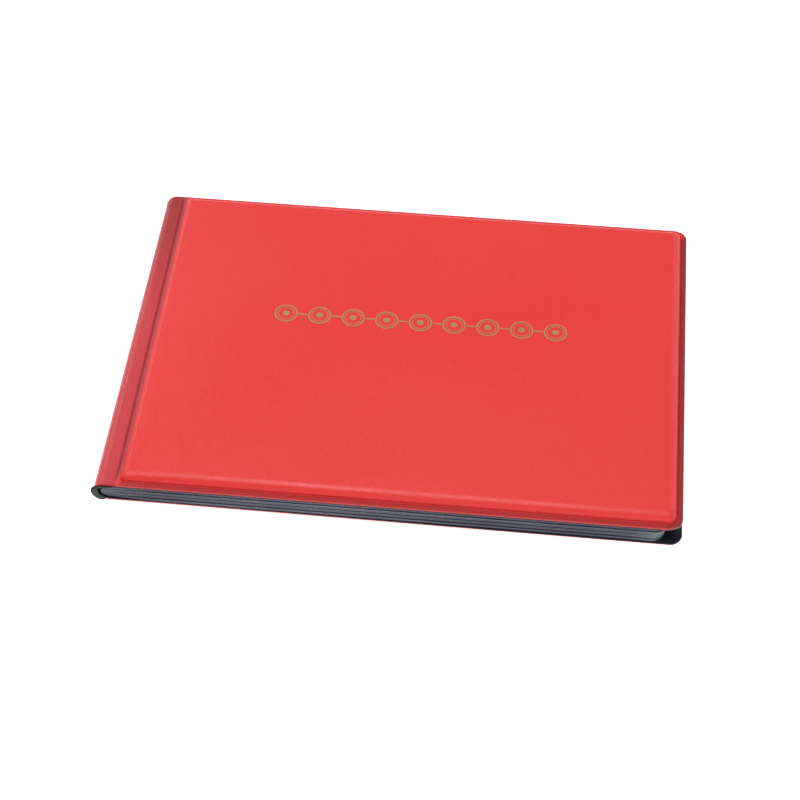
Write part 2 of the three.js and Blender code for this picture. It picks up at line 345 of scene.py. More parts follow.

# %% [markdown]
# ## The finishes
#
# Red vinyl is a saturated red under a thin, slightly milky gloss. Where it is welded flat to the lining it is
# denser and darker, and over that the border gets painted shade from the raised panel, stronger at the fore edge
# and faded at the far edge, which is painted lighter. The groove of the hinge is darkest, with painted shade, and
# the grain's valleys get a little painted shade. The strip over the spine is a duller red, with painted shade
# towards its far end, and along the cut rim the red is paler. Attributes on the mesh for the weld and its shade,
# the groove, the strip and the rim say where that is, so the pattern follows the piece when it bends.

# %% Red vinyl
RED = (0.785, 0.024, 0.023, 1.0)
RED_WELD_AND_SHADE = (0.29, 0.007, 0.010, 1.0)
RED_GROOVE_SHADE = (0.36, 0.016, 0.022, 1.0)
RED_STRIP = (0.55, 0.032, 0.038, 1.0)
RED_PALE = (0.76, 0.065, 0.065, 1.0)
RED_GRAIN = 1150.0  # cells per metre


def red_vinyl():
    material, tree, where = new_material("red_vinyl", IOR=1.45, Coat_Weight=0.06, Coat_Roughness=0.3)
    grain = use_group(tree, grain_group, {"Cells per metre": RED_GRAIN, "Vector": where})
    haze = use_group(tree, haze_group, {"Scale": 16.0, "Vector": where})["Mask"]
    scuff = use_group(tree, scuff_group, {"Amount": 0.5, "Vector": where})["Mask"]
    mottle = ranged(tree, noise(tree, where, 480.0, 3.0, 0.6), 0.3, 0.7, -0.04, 0.06)
    colour = mixed_colour(tree, times(tree, haze, 0.10), RED, RED_PALE)
    # Painted shade: the weld mask darkens the border and the grain's valleys, and the groove mask the hinge; the strip
    # mask gives a duller red and the rim mask a paler one.
    over_it = (
        (attribute(tree, "strip"), 0.9, RED_STRIP),
        (attribute(tree, "weld_and_shade"), 1.0, RED_WELD_AND_SHADE),
        (attribute(tree, "groove"), 0.85, RED_GROOVE_SHADE),
        (grain["Valley"], 0.1, RED_WELD_AND_SHADE),
        (attribute(tree, "rim"), 0.25, RED_PALE),
    )
    for mask, share, tone in over_it:
        colour = mixed_colour(tree, times(tree, mask, share), colour, tone)
    gloss = plus(tree, ranged(tree, haze, 0.0, 1.0, 0.36, 0.43), times(tree, scuff, 0.12))
    normal = bump(tree, grain["Height"], 0.4, 0.00008)
    return finished(material, Base_Color=colour, Roughness=plus(tree, gloss, mottle), Normal=normal)

# %% Navy lining
NAVY = (0.006, 0.008, 0.016, 1.0)
NAVY_PALE = (0.022, 0.028, 0.042, 1.0)


def navy_vinyl():
    material, tree, where = new_material("navy_lining", IOR=1.45, Specular_IOR_Level=0.28)
    grain = use_group(tree, grain_group, {"Cells per metre": 2400.0, "Vector": where})
    haze = use_group(tree, haze_group, {"Scale": 22.0, "Vector": where})["Mask"]
    scuff = use_group(tree, scuff_group, {"Amount": 0.8, "Vector": where})["Mask"]
    base = mixed_colour(tree, times(tree, haze, 0.3), NAVY, NAVY_PALE)
    colour = mixed_colour(tree, times(tree, attribute(tree, "rim"), 0.2), base, NAVY_PALE)
    gloss = plus(tree, ranged(tree, haze, 0.0, 1.0, 0.32, 0.42), times(tree, scuff, 0.2))
    normal = bump(tree, grain["Height"], 0.2, 0.00004)
    return finished(material, Base_Color=colour, Roughness=gloss, Normal=normal)

# %% [markdown]
# Clear pocket film is not glass: it is soft vinyl a tenth of a millimetre thick, faintly blue and a little cloudy,
# and it turns slate-coloured edge on, where the light travels along it. A partly transparent surface with a
# glossy coat shows that with no refraction, and stays cheap where many leaves lie on each other. The *edge*
# attribute makes welds and cut edges denser, and the *corner* attribute paints a highlight on a rounded corner.

# %% Clear pocket film
FILM_CLEAR = (0.36, 0.43, 0.52, 1.0)
FILM_DENSE = (0.034, 0.036, 0.062, 1.0)
FILM_PALE = (0.066, 0.069, 0.102, 1.0)
FILM_PAINTED_GLINT = (0.30, 0.36, 0.36, 1.0)


def pocket_film(name, clear, dense):
    """clear and dense are the alpha away from a weld or cut edge, and on it."""
    material, tree, where = new_material(name, IOR=1.45, Coat_Weight=0.12, Coat_Roughness=0.12)
    haze = use_group(tree, haze_group, {"Scale": 40.0, "Vector": where})["Mask"]
    scuff = use_group(tree, scuff_group, {"Amount": 1.0, "Vector": where})["Mask"]
    layers = use_group(tree, layer_group, {"Vector": where})["Mask"]
    edge = attribute(tree, "edge")
    streaked = mixed_colour(tree, times(tree, layers, 0.75), FILM_DENSE, FILM_PALE)
    # painted highlight on a leaf's rounded corner, streaked like the layers
    painted_glint = times(tree, attribute(tree, "corner"), ranged(tree, layers, 0.3, 1.0, 0.1, 0.7))
    cut = mixed_colour(tree, painted_glint, streaked, FILM_PAINTED_GLINT)
    tone = plus(tree, times(tree, edge, 0.88), times(tree, haze, 0.12))
    return finished(
        material,
        Base_Color=mixed_colour(tree, tone, FILM_CLEAR, cut),
        Alpha=plus(tree, ranged(tree, edge, 0.0, 1.0, clear, dense), times(tree, haze, 0.05)),
        Roughness=ranged(tree, scuff, 0.0, 1.0, 0.2, 0.42),
        Normal=bump(tree, noise(tree, where, 140.0), 0.1, 0.0002),
    )

# %% [markdown]
# The foil is a film of coloured metal pressed on hot. It takes the vinyl's grain, and in the grain's valleys its
# colour is duller, as painted shade.

# %% Gold foil
GOLD = (0.50, 0.30, 0.13, 1.0)
GOLD_DULL = (0.34, 0.19, 0.08, 1.0)


def gold_foil():
    material, tree, where = new_material("gold_foil", Metallic=0.45)
    grain = use_group(tree, grain_group, {"Cells per metre": RED_GRAIN, "Vector": where})
    haze = use_group(tree, haze_group, {"Scale": 90.0, "Vector": where})["Mask"]
    # painted shade: the foil is duller in the grain's valleys, and duller at random with the haze
    colour = mixed_colour(tree, plus(tree, times(tree, haze, 0.35), times(tree, grain["Valley"], 0.5)), GOLD, GOLD_DULL)
    gloss = ranged(tree, haze, 0.0, 1.0, 0.38, 0.5)
    normal = bump(tree, grain["Height"], 0.3, 0.00005)
    return finished(material, Base_Color=colour, Roughness=gloss, Normal=normal)

# %% [markdown]
# Foam and greyboard are sealed inside the covers. They still get their own finish: open cells for the foam, and
# pressed fibres with flecks for the board.

# %% Foam and greyboard
FOAM_PALE, FOAM_DARK = (0.80, 0.76, 0.64, 1.0), (0.52, 0.47, 0.36, 1.0)
BOARD_PALE, BOARD_DARK, BOARD_FLECK = (0.36, 0.33, 0.29, 1.0), (0.24, 0.22, 0.19, 1.0), (0.12, 0.11, 0.10, 1.0)


def foam():
    material, tree, where = new_material("pad_foam")
    cells = use_group(tree, grain_group, {"Cells per metre": 2200.0, "Vector": where})
    colour = mixed_colour(tree, cells["Valley"], FOAM_PALE, FOAM_DARK)
    gloss = ranged(tree, cells["Height"], 0.0, 1.0, 0.95, 0.8)
    normal = bump(tree, cells["Height"], 0.8, 0.0003)
    return finished(material, Base_Color=colour, Roughness=gloss, Normal=normal)


def greyboard():
    material, tree, where = new_material("greyboard")
    fibre = noise(tree, stretched(tree, where, (900.0, 160.0, 900.0)), 1.0, 4.0, 0.7)
    fleck = ranged(tree, noise(tree, where, 1400.0, 1.0), 0.68, 0.74)
    colour = mixed_colour(tree, fleck, mixed_colour(tree, fibre, BOARD_PALE, BOARD_DARK), BOARD_FLECK)
    gloss = ranged(tree, fibre, 0.0, 1.0, 0.85, 0.95)
    return finished(material, Base_Color=colour, Roughness=gloss, Normal=bump(tree, fibre, 0.4, 0.0001))


finishes = {
    "red": red_vinyl(),
    "navy": navy_vinyl(),
    "film": pocket_film("leaf_film", 0.42, 0.92),
    "pocket": pocket_film("pocket_film", 0.30, 0.85),
    "binding": pocket_film("fused_film", 0.85, 0.97),
    "gold": gold_foil(),
    "foam": foam(),
    "board": greyboard(),
}
print("finishes:", ", ".join(finishes))

# %% [markdown]
# ## One way to make every sheet
#
# The skin, the lining, the leaves and the pocket films are all sheets with a thickness. Each starts as a flat
# grid whose lines are close together where the shape turns quickly and far apart where it is flat. The grid is
# extruded once, so that it has two sides and a rim. Then every vertex is carried to its place by a rule for that
# piece, which is easier to tune than pulling faces by hand.

# %% Sheet builder
LEAST_STEP = 0.004 * MM  # grid lines closer than this are taken as one
SHARP_ANGLE = math.radians(40.0)


def evenly(low, high, step):
    return list(np.linspace(low, high, max(1, math.ceil(abs(high - low) / step)) + 1))


def merged_lines(*groups):
    lines = sorted(value for group in groups for value in group)
    return [a for a, b in zip(lines, lines[1:] + [math.inf]) if b - a > LEAST_STEP]


def only(kind, geometry):
    return [item for item in geometry if isinstance(item, kind)]


def sheet_mesh(name, finish, along, across, place, masks=None):
    """place(u, y, top) gives a vertex its place. masks maps an attribute's name to a rule of (u, y, top)."""
    bm = bmesh.new()
    bmesh.ops.create_grid(bm, x_segments=len(along) - 1, y_segments=len(across) - 1, size=1.0)
    reach = max(v.co.x for v in bm.verts)
    for v in bm.verts:
        i = round((v.co.x / reach + 1) / 2 * (len(along) - 1))
        j = round((v.co.y / reach + 1) / 2 * (len(across) - 1))
        v.co = (along[i], across[j], 0.0)
    raised = bmesh.ops.extrude_face_region(bm, geom=bm.faces[:], use_keep_orig=True)["geom"]
    for v in only(bmesh.types.BMVert, raised):
        v.co.z = 1.0
    layers = {key: bm.verts.layers.float.new(key) for key in masks or {}}
    for v in bm.verts:
        u, y, top = v.co.x, v.co.y, v.co.z > 0.5
        for key, layer in layers.items():
            v[layer] = masks[key](u, y, top)
        v.co = place(u, y, top)
    return finish_mesh(name, finish, bm)


def finish_mesh(name, finish, bm):
    """Turns the faces outwards and smooths them, with creases where the surface turns by more than the sharp angle."""
    bmesh.ops.recalc_face_normals(bm, faces=bm.faces[:])
    for face in bm.faces:
        face.smooth = True
    for edge in bm.edges:
        edge.smooth = len(edge.link_faces) == 2 and edge.calc_face_angle() < SHARP_ANGLE
    piece = mesh_object(name, bm)
    piece.data.materials.append(finishes[finish])
    return piece


def smooth_step(value, low, high):
    t = min(max((value - low) / (high - low), 0.0), 1.0)
    return t * t * (3 - 2 * t)


def hump(value, centre, half_width):
    """1 at the centre, falling smoothly to 0 at either side."""
    t = min(abs(value - centre) / half_width, 1.0)
    return 0.5 * (1 + math.cos(math.pi * t))

# %% [markdown]
# ### Rounded corners
#
# A grid has square corners, but the cover's are round. Each corner square is pressed into a quarter disc, so the
# grid's lines turn into arcs that run parallel to the rounded edge. The grooves and shoulders follow them.

# %% Corner rule
def quarter_disc(a, b):
    """Carries a point of the unit square to the quarter disc that keeps its two straight sides."""
    return a * math.sqrt(1 - b * b / 2), b * math.sqrt(1 - a * a / 2)


def rounded_fore(u, y, edge, half, radius):
    """Rounds the two corners at the fore edge."""
    a, b = (u - (edge - radius)) / radius, (abs(y) - (half - radius)) / radius
    if a <= 0 or b <= 0:
        return u, y
    a, b = quarter_disc(min(a, 1.0), min(b, 1.0))
    return edge - radius + a * radius, math.copysign(half - radius + b * radius, y)

# %% [markdown]
# ### The wrapped cover
#
# Skin and lining are welded into one laminate that lies flat over each cover and rolls round the spine in half an
# ellipse. The distance *u* runs along the laminate: it equals X over the cover and goes on as arc length round the
# spine. A sheet's two sides are offsets from the laminate's middle. The roll bulges a little more towards the near
# end, as a hand-folded spine does.

# %% Laminate rule
ROLL_START = FOLD_X + 0.1 * MM
ROLL_BULGE = ROLL_START - (cad_low.x + HALF_LAMINATE)
ROLL_FLARE = 0.5 * MM
FAR_PULL = 1.5 * MM  # the far end of the roll is drawn in, so its corner looks round
FAR_PULL_BEFORE, FAR_PULL_REACH = 1.2 * MM, 3.2 * MM  # where that begins before the roll, and over what length
SEAM_ANGLE = math.radians(222)
ROLL_ANGLES = np.linspace(math.pi / 2, 1.5 * math.pi, 721)
roll_steps = np.hypot(np.diff(ROLL_BULGE * np.cos(ROLL_ANGLES)), np.diff(HALF_CHORD * np.sin(ROLL_ANGLES)))
ROLL_LENGTHS = np.concatenate([[0.0], np.cumsum(roll_steps)])


def laminate_point(side, u, y, offset):
    """side is 1 for the front cover and -1 for the back, offset is outward from the laminate's middle."""
    on_roll = smooth_step(ROLL_START + FAR_PULL_BEFORE - u, 0.0, FAR_PULL_REACH)
    y -= FAR_PULL * on_roll * smooth_step(y, 0.5 * HALF_DEPTH, HALF_DEPTH)
    if u >= ROLL_START:
        return Vector((u, y, MID_Z + side * (HALF_CHORD + offset)))
    angle = float(np.interp(ROLL_START - u, ROLL_LENGTHS, ROLL_ANGLES))
    bulge = ROLL_BULGE - ROLL_FLARE * y / HALF_DEPTH
    normal = Vector((math.cos(angle) / bulge, math.sin(angle) / HALF_CHORD)).normalized()
    x = ROLL_START + bulge * math.cos(angle) + normal.x * offset
    z = HALF_CHORD * math.sin(angle) + normal.y * offset
    return Vector((x, y, MID_Z + side * z))


def seam_reach(side):
    """How far round the spine each cover's sheet goes: the front one takes most of the roll."""
    angle = SEAM_ANGLE if side > 0 else 2 * math.pi - SEAM_ANGLE
    return float(np.interp(angle, ROLL_ANGLES, ROLL_LENGTHS))


print("roll length mm:", round(ROLL_LENGTHS[-1] / MM, 2), "front takes", round(seam_reach(1) / MM, 2))

# %% [markdown]
# ### The crown of a padded panel
#
# Foam under a welded skin swells most in the middle and is held down all round. That is a cloth problem: a thin
# sheet is pinned along its border and blown up from below for twenty steps. Its height is then scaled to the crown
# that the foam gives, and the skin reads its own height from it.

# %% Swell the panel
CROWN = 1.0 * MM
SHOULDER = 3.2 * MM
CLOTH_STEP = 2.6 * MM
PRESSURE = 4.0
CLOTH_MASS = 0.05
CLOTH_FRAMES = 20


def swollen_panel():
    """Heights from 0 to 1 on a regular grid over the panel."""
    columns = len(evenly(FOOT_SPINE, FOOT_FORE, CLOTH_STEP))
    rows = len(evenly(-FOOT_HALF, FOOT_HALF, CLOTH_STEP))
    bm = bmesh.new()
    bmesh.ops.create_grid(bm, x_segments=columns - 1, y_segments=rows - 1, size=1.0)
    half_width = (FOOT_FORE - FOOT_SPINE) / 2
    reach = max(v.co.x for v in bm.verts)
    for v in bm.verts:
        v.co = (v.co.x / reach * half_width, v.co.y / reach * FOOT_HALF, 0.0)
    cloth_piece = mesh_object("swelling", bm)
    flat = cloth_piece.data.vertices
    held = cloth_piece.vertex_groups.new(name="held")
    edge_x, edge_y = half_width - 0.1 * CLOTH_STEP, FOOT_HALF - 0.1 * CLOTH_STEP
    border = [v.index for v in flat if abs(v.co.x) > edge_x or abs(v.co.y) > edge_y]
    held.add(border, 1.0, "REPLACE")
    cloth = cloth_piece.modifiers.new("cloth", "CLOTH")
    cloth.settings.vertex_group_mass = "held"
    cloth.settings.effector_weights.gravity = 0
    cloth.settings.use_pressure = True
    cloth.settings.uniform_pressure_force = PRESSURE
    cloth.settings.mass = CLOTH_MASS
    cloth.point_cache.frame_start, cloth.point_cache.frame_end = 1, CLOTH_FRAMES
    for step in range(1, CLOTH_FRAMES + 1):
        scene.frame_set(step)
    blown = cloth_piece.evaluated_get(bpy.context.evaluated_depsgraph_get()).to_mesh()
    heights = np.zeros((columns, rows))
    for v, start in zip(blown.vertices, flat):
        i = round((start.co.x / half_width + 1) / 2 * (columns - 1))
        j = round((start.co.y / FOOT_HALF + 1) / 2 * (rows - 1))
        heights[i, j] = v.co.z
    print("cloth rose", round(heights.max() / MM, 3), "mm at most, and", round(heights.min() / MM, 3), "at least")
    scene.frame_set(1)
    bpy.data.objects.remove(cloth_piece)
    return np.clip(heights / heights.max(), 0.0, 1.0)


SWELLING = swollen_panel()


def swelling_at(u, y):
    columns, rows = SWELLING.shape
    i = (u - FOOT_SPINE) / (FOOT_FORE - FOOT_SPINE) * (columns - 1)
    j = (y + FOOT_HALF) / (2 * FOOT_HALF) * (rows - 1)
    i, j = min(max(i, 0.0), columns - 1.001), min(max(j, 0.0), rows - 1.001)
    low_i, low_j = int(i), int(j)
    part_i, part_j = i - low_i, j - low_j
    near = SWELLING[low_i, low_j] * (1 - part_i) + SWELLING[low_i + 1, low_j] * part_i
    far = SWELLING[low_i, low_j + 1] * (1 - part_i) + SWELLING[low_i + 1, low_j + 1] * part_i
    return near * (1 - part_j) + far * part_j

# %% [markdown]
# ### The red skin
#
# Across the border, from the cut rim inwards, the skin has a small bead left by the welding die, a flat, and a
# narrow groove at the foot of the panel. Then it climbs a rounded shoulder on to the crown. Beside the spine the
# groove is wider, because the cover hinges there, and it turns out and fades at the near end.

# %% Skin relief
CORNER = {1: 5.0 * MM, -1: 3.8 * MM}  # the radius at the fore edge, for the front and the back
SPINE_FOOT_RADIUS, FORE_FOOT_RADIUS = 2.0 * MM, 2.7 * MM
SPINE_STEEPNESS = 1.6  # the shoulder beside the hinge is this much narrower than the others
BEAD_WIDTH, BEAD_HEIGHT = 0.55 * MM, 0.10 * MM
GROOVE_WIDTH, GROOVE_DEPTH = 0.55 * MM, 0.20 * MM
HINGE_GROOVE_WIDTH, HINGE_GROOVE_DEPTH = 1.8 * MM, 0.30 * MM
HINGE_GROOVE_TURN = 0.7 * MM
BACK_DROOP, BACK_SPREAD = 0.5 * MM, 0.3 * MM
BACK_SHORT = 0.18 * MM  # the back skin is cut this much inside the lining
SHOULDER_STEPS = 12
CROWN_REACH = 7 * MM  # the crown starts from nothing at the foot and is whole this far in
HINGE_END = 5 * MM  # the hinge groove turns out over this length at its near end
RIM_ROUNDING, RIM_ROUND_WIDTH = 0.12 * MM, 0.15 * MM
SLACK_CORNER, SLACK_REACH = 0.22, 22 * MM  # the panel is less full at its near corner beside the spine
COVER_BEFORE, COVER_AFTER = 0.6 * MM, 0.4 * MM  # the cover proper begins round the panel's foot, over this length
HINGE_NEAR_FADE, HINGE_FAR_FADE = 0.8, 0.9  # the share of the hinge groove that is lost at each end


def inside_foot(x, y):
    """Distance inside the panel's foot, below 0 outside it. The foot's corners are round."""
    from_spine, from_fore, from_side = (x - FOOT_SPINE) * SPINE_STEEPNESS, FOOT_FORE - x, FOOT_HALF - abs(y)
    across = min(from_spine, from_fore)
    radius = SPINE_FOOT_RADIUS if from_spine < from_fore else FORE_FOOT_RADIUS
    if across < radius and from_side < radius:
        return radius - math.hypot(radius - across, radius - from_side)
    return min(across, from_side)


def from_rim(u, y):
    return min(FORE - u, HALF_DEPTH - abs(y))


def on_cover(x):
    """0 over the spine strip and the hinge, 1 over the cover proper."""
    return smooth_step(x, FOOT_SPINE - COVER_BEFORE, FOOT_SPINE + COVER_AFTER)


def hinge_line(x, y, half_width):
    near_end = smooth_step(-y, FOOT_HALF - HINGE_END, HALF_DEPTH)
    centre = FOOT_SPINE - HINGE_GROOVE_WIDTH / 2 - HINGE_GROOVE_TURN * near_end
    near_fade = 1 - HINGE_NEAR_FADE * smooth_step(-y, FOOT_HALF - HINGE_END, FOOT_HALF + 1 * MM)
    far_fade = 1 - HINGE_FAR_FADE * smooth_step(y, FOOT_HALF - 2 * MM, HALF_DEPTH)
    return near_fade * far_fade * hump(x, centre, half_width)


def skin_relief(u, x, y, crown):
    inside = inside_foot(x, y)
    hinge = HINGE_GROOVE_DEPTH * hinge_line(x, y, HINGE_GROOVE_WIDTH / 2)
    if inside > 0:
        shoulder = math.sin(math.acos(max(0.0, 1 - inside / SHOULDER)))
        lift = smooth_step(inside, 0.0, CROWN_REACH)
        corner = 1 - smooth_step(math.hypot(x - FOOT_SPINE, y + FOOT_HALF), 0.0, SLACK_REACH)
        fullness = 1 - SLACK_CORNER * corner * (1 if crown else 0)
        return PANEL_RISE * fullness * shoulder + crown * swelling_at(x, y) * lift
    groove = GROOVE_DEPTH * hump(-inside, GROOVE_WIDTH / 2, GROOVE_WIDTH / 2) * on_cover(x)
    bead = BEAD_HEIGHT * hump(from_rim(u, y), BEAD_WIDTH / 2, BEAD_WIDTH / 2)
    rounding = RIM_ROUNDING * (1 - smooth_step(from_rim(u, y), 0.0, RIM_ROUND_WIDTH))
    return bead - rounding - max(groove, hinge)


def slack(side, x, y):
    """0 to 1 over the back cover's thin border, which hangs and spreads because nothing stiff is in it."""
    if side > 0:
        return 0.0
    return smooth_step(-inside_foot(x, y), 0.0, MARGIN) * smooth_step(x, FOOT_SPINE, FOOT_FORE)


def border_lines(margin):
    """Distances inwards from the cut rim to the panel's foot."""
    rim = [0.0, 0.06 * MM, 0.15 * MM, BEAD_WIDTH / 2, 0.42 * MM, BEAD_WIDTH, 0.9 * MM]
    groove = [margin - share * GROOVE_WIDTH for share in (1.0, 0.75, 0.5, 0.25, 0.08, 0.0)]
    return rim + groove


def shoulder_lines():
    """Distances inwards from the panel's foot to where the crown is smooth."""
    turns = [SHOULDER * (1 - math.cos(math.pi / 2 * i / SHOULDER_STEPS)) for i in range(1, SHOULDER_STEPS + 1)]
    return turns + [SHOULDER + extra * MM for extra in (0.6, 1.4, 2.6, 4.2)]


ROLL_STEP, STRIP_STEP, HINGE_STEP, PANEL_STEP = 0.22 * MM, 0.5 * MM, 0.16 * MM, 2.4 * MM
HINGE_REACH = 3 * MM  # the fine grid beside the panel starts this far from its foot


def cover_lines(side):
    """The grid lines along the cover, from the seam round the spine to the fore edge, and across it."""
    last = shoulder_lines()[-1]
    roll = evenly(ROLL_START - seam_reach(side), ROLL_START, ROLL_STEP)
    strip = evenly(ROLL_START, FOOT_SPINE - HINGE_REACH, STRIP_STEP)
    hinge = evenly(FOOT_SPINE - HINGE_REACH, FOOT_SPINE, HINGE_STEP)
    spine_shoulder = [FOOT_SPINE + d / SPINE_STEEPNESS for d in shoulder_lines()]
    middle = evenly(spine_shoulder[-1], FOOT_FORE - last, PANEL_STEP)
    fore = [FOOT_FORE - d for d in shoulder_lines()] + [FORE - d for d in border_lines(FORE_MARGIN)]
    along = merged_lines(roll, strip, hinge, spine_shoulder, middle, fore)
    near = [d - HALF_DEPTH for d in border_lines(MARGIN)] + [d - FOOT_HALF for d in shoulder_lines()]
    across = merged_lines(near, evenly(last - FOOT_HALF, FOOT_HALF - last, PANEL_STEP), [-y for y in near])
    return along, across

# %% [markdown]
# ### The two skins
#
# At the ends of the spine the lining is rolled over the skin's cut edge and welded there, so the end of the roll
# looks dark. The skin stops a little short of it. The welded bead is thicker at the near end. The masks say where
# the skin is welded and has painted shade, where the hinge groove has painted shade, where the strip over the spine
# is a duller red with painted shade at its far end, and where the cut rim is paler.

# %% Skin sheets
TURNED_NEAR, TURNED_FAR = 2.0 * MM, 0.9 * MM  # how far the lining is turned over at each end of the roll
ROLLED_OUT, ROLLED_IN = 0.75 * MM, 0.80 * MM
TURN_START = {1: 1.6 * MM, -1: -1.0 * MM}  # how far round the spine each cover's sheet starts to be turned over
TURN_REACH = 2.0 * MM
TURN_GAP = 0.1 * MM  # between the skin's cut edge and the turned lining
SHIFT_REACH = 20 * MM
# Painted shade on the welded border, over the pressed weld: its share at the sides and its gain at the fore edge.
WELD_AND_SHADE_AT_SIDES, FORE_SHADE_GAIN = 0.72, 0.28
SHADE_CHANGE = 4 * MM  # over this length the border's painted shade grows at the fore edge and fades at the far one
WELD_FROM, WELD_WHOLE = -0.1 * MM, 0.5 * MM  # how far outside the panel's foot it starts and is whole
# How much of the far border's painted shade fades, so that it is painted lighter, and how much painted shade the far
# end of the spine strip gets.
FAR_PAINTED_LIGHT, STRIP_FAR_SHADE = 0.7, 0.75
# painted shade in the hinge groove: its gain and its width
GROOVE_SHADE_GAIN, GROOVE_SHADE_WIDTH = 1.6, 0.72 * HINGE_GROOVE_WIDTH
STRIP_END, STRIP_FADE_OUT = 1.6 * MM, 0.2 * MM  # before the panel's foot
RIM_PALE_WHOLE, RIM_PALE_END = 0.15 * MM, 0.6 * MM  # inwards from the cut rim
NEAR_SHORT = 0.65 * MM  # the front cover's near border ends this much inside the back cover's
FAR_FOOT, FAR_SHOULDER = 0.8 * MM, 1.7 * MM  # how far the front panel's far foot and shoulder sit towards the rim


def turned_edge(y):
    return TURNED_FAR + (TURNED_NEAR - TURNED_FAR) * smooth_step(-y, 0.0, HALF_DEPTH)


def cover_shift(side, y):
    """The front panel sits a little towards the far rim, and its near border is cut narrower."""
    if side < 0:
        return 0.0
    shoulder_top = FOOT_HALF - SHOULDER
    outwards = FAR_SHOULDER * smooth_step(y, FOOT_HALF - SHIFT_REACH, shoulder_top)
    outwards -= (FAR_SHOULDER - FAR_FOOT) * smooth_step(y, shoulder_top, FOOT_HALF)
    outwards -= FAR_FOOT * smooth_step(y, FOOT_HALF, HALF_DEPTH)
    return outwards + NEAR_SHORT * smooth_step(-y, FOOT_HALF, HALF_DEPTH)


def round_the_roll(side, u):
    """0 over the covers, 1 where the laminate has turned down round the spine."""
    return smooth_step(ROLL_START - u, TURN_START[side], TURN_START[side] + TURN_REACH)


def skin_sheet(name, side, crown):
    along, across = cover_lines(side)

    def place(u, y, top):
        base = HALF_LAMINATE if top else HALF_LAMINATE - SKIN
        x, y_round = rounded_fore(u, y, FORE, HALF_DEPTH, CORNER[side])
        loose = slack(side, x, y_round)
        offset = base + skin_relief(u, x, y_round, crown) + BACK_DROOP * loose
        spread = (BACK_SPREAD - BACK_SHORT) * loose
        short = (turned_edge(y) + TURN_GAP) * round_the_roll(side, u) - spread
        return laminate_point(side, x + spread, y_round * (1 - short / HALF_DEPTH) + cover_shift(side, y_round), offset)

    # The pressed weld with painted shade on the border, more at the fore edge and less at the far one.
    def weld_and_shade(u, y, top):
        x, y_round = rounded_fore(u, y, FORE, HALF_DEPTH, CORNER[side])
        strength = WELD_AND_SHADE_AT_SIDES + FORE_SHADE_GAIN * smooth_step(x, FOOT_FORE - SHADE_CHANGE, FOOT_FORE)
        lighter = 1 - FAR_PAINTED_LIGHT * smooth_step(y, FOOT_HALF - SHADE_CHANGE, FOOT_HALF)
        pressed = strength * lighter * smooth_step(-inside_foot(x, y_round), WELD_FROM, WELD_WHOLE) * on_cover(x)
        # painted shade on the spine strip, growing towards its far end
        strip_far_shade = STRIP_FAR_SHADE * smooth_step(y, 0.0, HALF_DEPTH) * (1 - on_cover(x))
        return pressed + strip_far_shade

    masks = {
        "weld_and_shade": weld_and_shade,
        # painted shade in the hinge groove
        "groove": lambda u, y, top: min(1.0, GROOVE_SHADE_GAIN * hinge_line(u, y, GROOVE_SHADE_WIDTH)),
        "strip": lambda u, y, top: 1 - smooth_step(u, FOOT_SPINE - STRIP_END, FOOT_SPINE - STRIP_FADE_OUT),
        # a paler line along the cut rim
        "rim": lambda u, y, top: (1 - smooth_step(HALF_DEPTH - abs(y), RIM_PALE_WHOLE, RIM_PALE_END)) * on_cover(u),
    }
    piece = sheet_mesh(name, "red", along, across, place, masks)
    print(name, len(piece.data.polygons), "faces")
    return piece


front_skin = skin_sheet("front_padded_skin", 1, CROWN)
back_skin = skin_sheet("back_padded_skin", -1, 0.0)

# %% [markdown]
# ### Baking the sheets in place
#
# Each sheet crosses one hinge line, and the two sheets meet on the spine. Each sheet's transform is baked into its
# mesh; it is not blended between the cover and the spine, and it is not attached to a body, so it does not follow
# the cover or the spine when they move.


def bend_at_fold(piece, side):
    if side > 0:
        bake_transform(piece)
    else:
        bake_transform(piece)


bend_at_fold(front_skin, 1)
bend_at_fold(back_skin, -1)
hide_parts("front_cover_skin", "spine_skin")
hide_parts("back_cover_skin")

# %% [markdown]
# ### The navy lining
#
# The lining is the cover's inside. It shows the weld as a pressed line just inside the rim, and the edge of the
# board as a faint step. Round the spine it forms the dark hollow that the leaves' roots sit in.

# %% Lining sheets
LINING_LINE_DEPTH = 0.05 * MM
BOARD_STEP, BOARD_STEP_FROM, BOARD_STEP_TO = 0.04 * MM, 0.3 * MM, 1.4 * MM
TURN_FULL, TURN_OUT = 0.3 * MM, 0.05 * MM  # the turned part is whole this far inside its edge, and ends past it
TURN_ROUNDING, TURN_ROUND_WIDTH = 0.2 * MM, 0.25 * MM
FAR_THINNING = 0.85  # how much thinner the rolled end is at the far side


def lining_relief(x, y):
    inside = inside_foot(x, y)
    pressed = LINING_LINE_DEPTH * hump(-inside, GROOVE_WIDTH / 2, GROOVE_WIDTH / 2)
    return pressed + BOARD_STEP * smooth_step(inside, BOARD_STEP_FROM, BOARD_STEP_TO)


